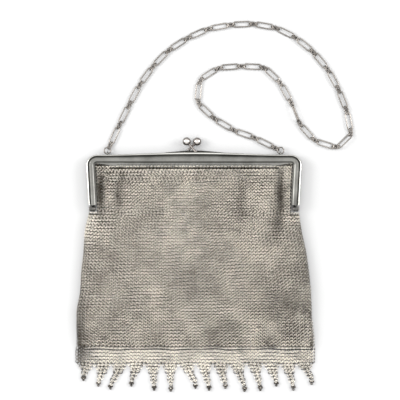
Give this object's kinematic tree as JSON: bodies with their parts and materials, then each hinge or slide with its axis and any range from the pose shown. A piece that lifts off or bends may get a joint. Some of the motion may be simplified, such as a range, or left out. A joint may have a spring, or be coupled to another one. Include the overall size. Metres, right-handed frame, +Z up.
{
  "type": "metal mesh purse",
  "caption": "Antique evening purse of fine metal ring mesh, with a moulded hinged frame, kiss-lock knobs, a link chain and a pointed mesh fringe, lying closed on its back.",
  "frame": {"origin": "where the back half of the frame rests: the middle of its crest under the top bar, on the surface that the purse lies on", "axes": "+Z up out of the purse's front, +Y from the fringe towards the clasp, +X to the right as seen from the front"},
  "size_m": [0.1808, 0.2407, 0.0098],
  "materials": {
    "frame_silver": "aged silver, satin with dark tarnish in the grooves",
    "bright_silver": "polished silver, rubbed bright",
    "chain_silver": "drawn silver wire, lightly tarnished",
    "mesh_silver": "warm grey silver rings, tarnished between the wires"
  },
  "bodies": {
    "root": {"frame_front": "frame_silver", "frame_back": "frame_silver", "hinge_rivet_left": "bright_silver", "hinge_rivet_right": "bright_silver", "clasp_knob_front": "bright_silver", "clasp_knob_back": "bright_silver", "chain_ring_left": "bright_silver", "chain_ring_right": "bright_silver", "chain": "chain_silver", "mesh_bag": "mesh_silver", "fringe": "mesh_silver"}
  },
  "joints": []
}
